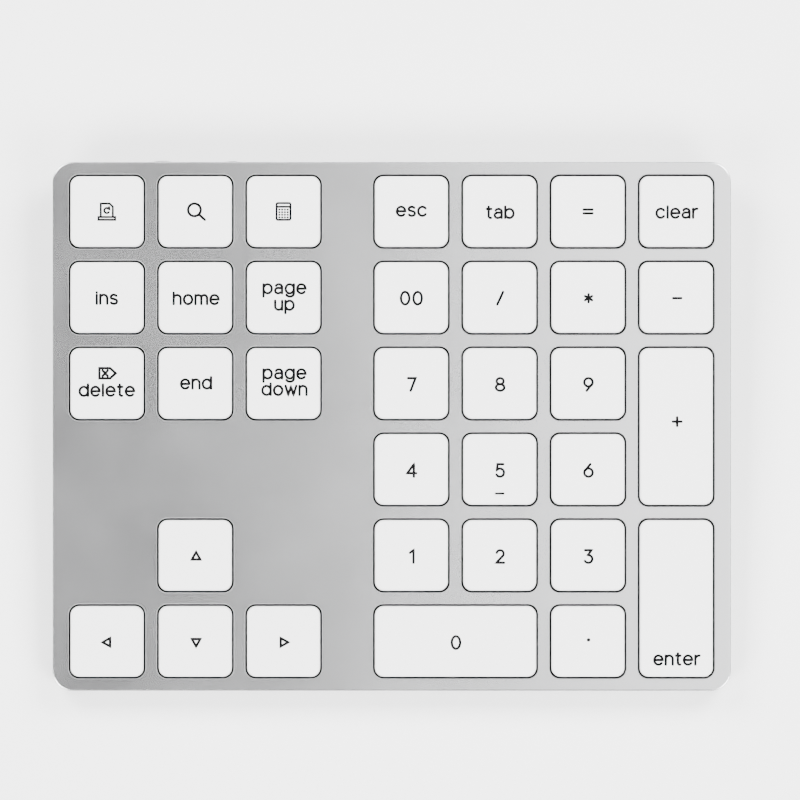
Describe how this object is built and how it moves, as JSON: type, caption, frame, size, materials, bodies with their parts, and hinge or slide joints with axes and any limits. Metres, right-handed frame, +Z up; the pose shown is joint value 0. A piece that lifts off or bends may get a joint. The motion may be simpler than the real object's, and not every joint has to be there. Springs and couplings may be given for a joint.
{
  "type": "numeric keypad",
  "caption": "Slim wireless numeric keypad with navigation keys: aluminium deck, low scissor keys, stabilised long keys, rear hump with battery, switch and USB-C socket.",
  "frame": {"origin": "centre of the keypad's footprint, on the surface that its feet stand on", "axes": "+X to the right along the key rows, +Y towards the rear edge, +Z up"},
  "size_m": [0.1462, 0.1146, 0.0152],
  "materials": {
    "aluminium_case": "bead-blasted and clear anodised, satin silver",
    "keycap_white": "fine satin white with grey legends",
    "cover_plastic": "fine-grained white moulding",
    "plate_steel": "zinc-plated sheet",
    "film_black": "polyester film, printed matt black",
    "dome_rubber": "translucent silicone",
    "lever_plastic": "natural acetal",
    "spring_wire": "drawn steel wire",
    "screw_steel": "black oxide",
    "board_green": "green solder mask with tinned pads",
    "connector_plastic": "cream moulding",
    "battery_foil": "laminate pouch, satin",
    "lead_insulation": "red and black insulation",
    "socket_steel": "plated steel shell",
    "black_plastic": "black moulding",
    "control_plastic": "satin dark grey",
    "light_pipe_clear": "clear polycarbonate",
    "foot_rubber": "matt grey rubber"
  },
  "bodies": {
    "case": {"battery_cell": "battery_foil", "battery_leads": "lead_insulation", "bottom_cover": "cover_plastic", "case_screws": "screw_steel", "key_base_plate": "plate_steel", "main_circuit_board": "board_green", "membrane_bottom_layer": "film_black", "membrane_connector": "connector_plastic", "membrane_spacer_layer": "film_black", "membrane_top_layer": "film_black", "pairing_tact_switch": "black_plastic", "plate_screws": "screw_steel", "power_switch_body": "black_plastic", "rubber_domes": "dome_rubber", "rubber_feet": "foot_rubber", "scissor_inner_levers": "lever_plastic", "scissor_outer_levers": "lever_plastic", "status_light_pipe": "light_pipe_clear", "top_case": "aluminium_case", "usb_socket_shell": "socket_steel", "usb_socket_tongue": "black_plastic"},
    "key_document": {"key_document": "keycap_white"},
    "key_search": {"key_search": "keycap_white"},
    "key_calculator": {"key_calculator": "keycap_white"},
    "key_escape": {"key_escape": "keycap_white"},
    "key_tab": {"key_tab": "keycap_white"},
    "key_equals": {"key_equals": "keycap_white"},
    "key_clear": {"key_clear": "keycap_white"},
    "key_insert": {"key_insert": "keycap_white"},
    "key_home": {"key_home": "keycap_white"},
    "key_page_up": {"key_page_up": "keycap_white"},
    "key_double_zero": {"key_double_zero": "keycap_white"},
    "key_divide": {"key_divide": "keycap_white"},
    "key_multiply": {"key_multiply": "keycap_white"},
    "key_minus": {"key_minus": "keycap_white"},
    "key_delete": {"key_delete": "keycap_white"},
    "key_end": {"key_end": "keycap_white"},
    "key_page_down": {"key_page_down": "keycap_white"},
    "key_7": {"key_7": "keycap_white"},
    "key_8": {"key_8": "keycap_white"},
    "key_9": {"key_9": "keycap_white"},
    "key_plus": {"key_plus": "keycap_white"},
    "key_4": {"key_4": "keycap_white"},
    "key_5": {"key_5": "keycap_white"},
    "key_6": {"key_6": "keycap_white"},
    "key_up": {"key_up": "keycap_white"},
    "key_1": {"key_1": "keycap_white"},
    "key_2": {"key_2": "keycap_white"},
    "key_3": {"key_3": "keycap_white"},
    "key_enter": {"key_enter": "keycap_white"},
    "key_left": {"key_left": "keycap_white"},
    "key_down": {"key_down": "keycap_white"},
    "key_right": {"key_right": "keycap_white"},
    "key_0": {"key_0": "keycap_white"},
    "key_point": {"key_point": "keycap_white"},
    "stabiliser_bar_plus": {"stabiliser_bar_plus": "spring_wire"},
    "stabiliser_bar_enter": {"stabiliser_bar_enter": "spring_wire"},
    "stabiliser_bar_0": {"stabiliser_bar_0": "spring_wire"},
    "power_switch_slider": {"power_switch_slider": "control_plastic"},
    "pairing_button": {"pairing_button": "control_plastic"}
  },
  "joints": [
    {"name": "press_document", "type": "slide", "parent": "case", "child": "key_document", "axis": [0, 0.061, -0.9981], "range_m": [0, 0.0018], "stiffness_N_per_m": 300, "springref_m": -0.001, "deforming": ["rubber_domes", "scissor_outer_levers", "scissor_inner_levers"]},
    {"name": "press_search", "type": "slide", "parent": "case", "child": "key_search", "axis": [0, 0.061, -0.9981], "range_m": [0, 0.0018], "stiffness_N_per_m": 300, "springref_m": -0.001, "deforming": ["rubber_domes", "scissor_outer_levers", "scissor_inner_levers"]},
    {"name": "press_calculator", "type": "slide", "parent": "case", "child": "key_calculator", "axis": [0, 0.061, -0.9981], "range_m": [0, 0.0018], "stiffness_N_per_m": 300, "springref_m": -0.001, "deforming": ["rubber_domes", "scissor_outer_levers", "scissor_inner_levers"]},
    {"name": "press_escape", "type": "slide", "parent": "case", "child": "key_escape", "axis": [0, 0.061, -0.9981], "range_m": [0, 0.0018], "stiffness_N_per_m": 300, "springref_m": -0.001, "deforming": ["rubber_domes", "scissor_outer_levers", "scissor_inner_levers"]},
    {"name": "press_tab", "type": "slide", "parent": "case", "child": "key_tab", "axis": [0, 0.061, -0.9981], "range_m": [0, 0.0018], "stiffness_N_per_m": 300, "springref_m": -0.001, "deforming": ["rubber_domes", "scissor_outer_levers", "scissor_inner_levers"]},
    {"name": "press_equals", "type": "slide", "parent": "case", "child": "key_equals", "axis": [0, 0.061, -0.9981], "range_m": [0, 0.0018], "stiffness_N_per_m": 300, "springref_m": -0.001, "deforming": ["rubber_domes", "scissor_outer_levers", "scissor_inner_levers"]},
    {"name": "press_clear", "type": "slide", "parent": "case", "child": "key_clear", "axis": [0, 0.061, -0.9981], "range_m": [0, 0.0018], "stiffness_N_per_m": 300, "springref_m": -0.001, "deforming": ["rubber_domes", "scissor_outer_levers", "scissor_inner_levers"]},
    {"name": "press_insert", "type": "slide", "parent": "case", "child": "key_insert", "axis": [0, 0.061, -0.9981], "range_m": [0, 0.0018], "stiffness_N_per_m": 300, "springref_m": -0.001, "deforming": ["rubber_domes", "scissor_outer_levers", "scissor_inner_levers"]},
    {"name": "press_home", "type": "slide", "parent": "case", "child": "key_home", "axis": [0, 0.061, -0.9981], "range_m": [0, 0.0018], "stiffness_N_per_m": 300, "springref_m": -0.001, "deforming": ["rubber_domes", "scissor_outer_levers", "scissor_inner_levers"]},
    {"name": "press_page_up", "type": "slide", "parent": "case", "child": "key_page_up", "axis": [0, 0.061, -0.9981], "range_m": [0, 0.0018], "stiffness_N_per_m": 300, "springref_m": -0.001, "deforming": ["rubber_domes", "scissor_outer_levers", "scissor_inner_levers"]},
    {"name": "press_double_zero", "type": "slide", "parent": "case", "child": "key_double_zero", "axis": [0, 0.061, -0.9981], "range_m": [0, 0.0018], "stiffness_N_per_m": 300, "springref_m": -0.001, "deforming": ["rubber_domes", "scissor_outer_levers", "scissor_inner_levers"]},
    {"name": "press_divide", "type": "slide", "parent": "case", "child": "key_divide", "axis": [0, 0.061, -0.9981], "range_m": [0, 0.0018], "stiffness_N_per_m": 300, "springref_m": -0.001, "deforming": ["rubber_domes", "scissor_outer_levers", "scissor_inner_levers"]},
    {"name": "press_multiply", "type": "slide", "parent": "case", "child": "key_multiply", "axis": [0, 0.061, -0.9981], "range_m": [0, 0.0018], "stiffness_N_per_m": 300, "springref_m": -0.001, "deforming": ["rubber_domes", "scissor_outer_levers", "scissor_inner_levers"]},
    {"name": "press_minus", "type": "slide", "parent": "case", "child": "key_minus", "axis": [0, 0.061, -0.9981], "range_m": [0, 0.0018], "stiffness_N_per_m": 300, "springref_m": -0.001, "deforming": ["rubber_domes", "scissor_outer_levers", "scissor_inner_levers"]},
    {"name": "press_delete", "type": "slide", "parent": "case", "child": "key_delete", "axis": [0, 0.061, -0.9981], "range_m": [0, 0.0018], "stiffness_N_per_m": 300, "springref_m": -0.001, "deforming": ["rubber_domes", "scissor_outer_levers", "scissor_inner_levers"]},
    {"name": "press_end", "type": "slide", "parent": "case", "child": "key_end", "axis": [0, 0.061, -0.9981], "range_m": [0, 0.0018], "stiffness_N_per_m": 300, "springref_m": -0.001, "deforming": ["rubber_domes", "scissor_outer_levers", "scissor_inner_levers"]},
    {"name": "press_page_down", "type": "slide", "parent": "case", "child": "key_page_down", "axis": [0, 0.061, -0.9981], "range_m": [0, 0.0018], "stiffness_N_per_m": 300, "springref_m": -0.001, "deforming": ["rubber_domes", "scissor_outer_levers", "scissor_inner_levers"]},
    {"name": "press_7", "type": "slide", "parent": "case", "child": "key_7", "axis": [0, 0.061, -0.9981], "range_m": [0, 0.0018], "stiffness_N_per_m": 300, "springref_m": -0.001, "deforming": ["rubber_domes", "scissor_outer_levers", "scissor_inner_levers"]},
    {"name": "press_8", "type": "slide", "parent": "case", "child": "key_8", "axis": [0, 0.061, -0.9981], "range_m": [0, 0.0018], "stiffness_N_per_m": 300, "springref_m": -0.001, "deforming": ["rubber_domes", "scissor_outer_levers", "scissor_inner_levers"]},
    {"name": "press_9", "type": "slide", "parent": "case", "child": "key_9", "axis": [0, 0.061, -0.9981], "range_m": [0, 0.0018], "stiffness_N_per_m": 300, "springref_m": -0.001, "deforming": ["rubber_domes", "scissor_outer_levers", "scissor_inner_levers"]},
    {"name": "press_plus", "type": "slide", "parent": "case", "child": "key_plus", "axis": [0, 0.061, -0.9981], "range_m": [0, 0.0018], "stiffness_N_per_m": 300, "springref_m": -0.001, "deforming": ["rubber_domes", "scissor_outer_levers", "scissor_inner_levers"]},
    {"name": "press_4", "type": "slide", "parent": "case", "child": "key_4", "axis": [0, 0.061, -0.9981], "range_m": [0, 0.0018], "stiffness_N_per_m": 300, "springref_m": -0.001, "deforming": ["rubber_domes", "scissor_outer_levers", "scissor_inner_levers"]},
    {"name": "press_5", "type": "slide", "parent": "case", "child": "key_5", "axis": [0, 0.061, -0.9981], "range_m": [0, 0.0018], "stiffness_N_per_m": 300, "springref_m": -0.001, "deforming": ["rubber_domes", "scissor_outer_levers", "scissor_inner_levers"]},
    {"name": "press_6", "type": "slide", "parent": "case", "child": "key_6", "axis": [0, 0.061, -0.9981], "range_m": [0, 0.0018], "stiffness_N_per_m": 300, "springref_m": -0.001, "deforming": ["rubber_domes", "scissor_outer_levers", "scissor_inner_levers"]},
    {"name": "press_up", "type": "slide", "parent": "case", "child": "key_up", "axis": [0, 0.061, -0.9981], "range_m": [0, 0.0018], "stiffness_N_per_m": 300, "springref_m": -0.001, "deforming": ["rubber_domes", "scissor_outer_levers", "scissor_inner_levers"]},
    {"name": "press_1", "type": "slide", "parent": "case", "child": "key_1", "axis": [0, 0.061, -0.9981], "range_m": [0, 0.0018], "stiffness_N_per_m": 300, "springref_m": -0.001, "deforming": ["rubber_domes", "scissor_outer_levers", "scissor_inner_levers"]},
    {"name": "press_2", "type": "slide", "parent": "case", "child": "key_2", "axis": [0, 0.061, -0.9981], "range_m": [0, 0.0018], "stiffness_N_per_m": 300, "springref_m": -0.001, "deforming": ["rubber_domes", "scissor_outer_levers", "scissor_inner_levers"]},
    {"name": "press_3", "type": "slide", "parent": "case", "child": "key_3", "axis": [0, 0.061, -0.9981], "range_m": [0, 0.0018], "stiffness_N_per_m": 300, "springref_m": -0.001, "deforming": ["rubber_domes", "scissor_outer_levers", "scissor_inner_levers"]},
    {"name": "press_enter", "type": "slide", "parent": "case", "child": "key_enter", "axis": [0, 0.061, -0.9981], "range_m": [0, 0.0018], "stiffness_N_per_m": 300, "springref_m": -0.001, "deforming": ["rubber_domes", "scissor_outer_levers", "scissor_inner_levers"]},
    {"name": "press_left", "type": "slide", "parent": "case", "child": "key_left", "axis": [0, 0.061, -0.9981], "range_m": [0, 0.0018], "stiffness_N_per_m": 300, "springref_m": -0.001, "deforming": ["rubber_domes", "scissor_outer_levers", "scissor_inner_levers"]},
    {"name": "press_down", "type": "slide", "parent": "case", "child": "key_down", "axis": [0, 0.061, -0.9981], "range_m": [0, 0.0018], "stiffness_N_per_m": 300, "springref_m": -0.001, "deforming": ["rubber_domes", "scissor_outer_levers", "scissor_inner_levers"]},
    {"name": "press_right", "type": "slide", "parent": "case", "child": "key_right", "axis": [0, 0.061, -0.9981], "range_m": [0, 0.0018], "stiffness_N_per_m": 300, "springref_m": -0.001, "deforming": ["rubber_domes", "scissor_outer_levers", "scissor_inner_levers"]},
    {"name": "press_0", "type": "slide", "parent": "case", "child": "key_0", "axis": [0, 0.061, -0.9981], "range_m": [0, 0.0018], "stiffness_N_per_m": 300, "springref_m": -0.001, "deforming": ["rubber_domes", "scissor_outer_levers", "scissor_inner_levers"]},
    {"name": "press_point", "type": "slide", "parent": "case", "child": "key_point", "axis": [0, 0.061, -0.9981], "range_m": [0, 0.0018], "stiffness_N_per_m": 300, "springref_m": -0.001, "deforming": ["rubber_domes", "scissor_outer_levers", "scissor_inner_levers"]},
    {"name": "swing_plus", "type": "hinge", "parent": "key_plus", "child": "stabiliser_bar_plus", "pos_m": [0.0676, -0.00047, 0.01029], "axis": [0, 0.9981, 0.061], "range_deg": [0, 13.32]},
    {"name": "swing_enter", "type": "hinge", "parent": "key_enter", "child": "stabiliser_bar_enter", "pos_m": [0.0676, -0.0374, 0.00803], "axis": [0, 0.9981, 0.061], "range_deg": [0, 13.32]},
    {"name": "swing_0", "type": "hinge", "parent": "key_0", "child": "stabiliser_bar_0", "pos_m": [0.01375, -0.0403, 0.00785], "axis": [-1, 0, 0], "range_deg": [0, 13.32]},
    {"name": "switch_power", "type": "slide", "parent": "case", "child": "power_switch_slider", "axis": [1, 0, 0], "range_m": [0, 0.002]},
    {"name": "press_pairing", "type": "slide", "parent": "case", "child": "pairing_button", "axis": [0, -0.9981, -0.061], "range_m": [0, 0.0003], "stiffness_N_per_m": 1500, "springref_m": -0.0003}
  ],
  "couplings": [
    {"joint": "swing_plus", "follows": "press_plus", "rad_per_m": 128.62},
    {"joint": "swing_enter", "follows": "press_enter", "rad_per_m": 128.62},
    {"joint": "swing_0", "follows": "press_0", "rad_per_m": 128.62}
  ]
}
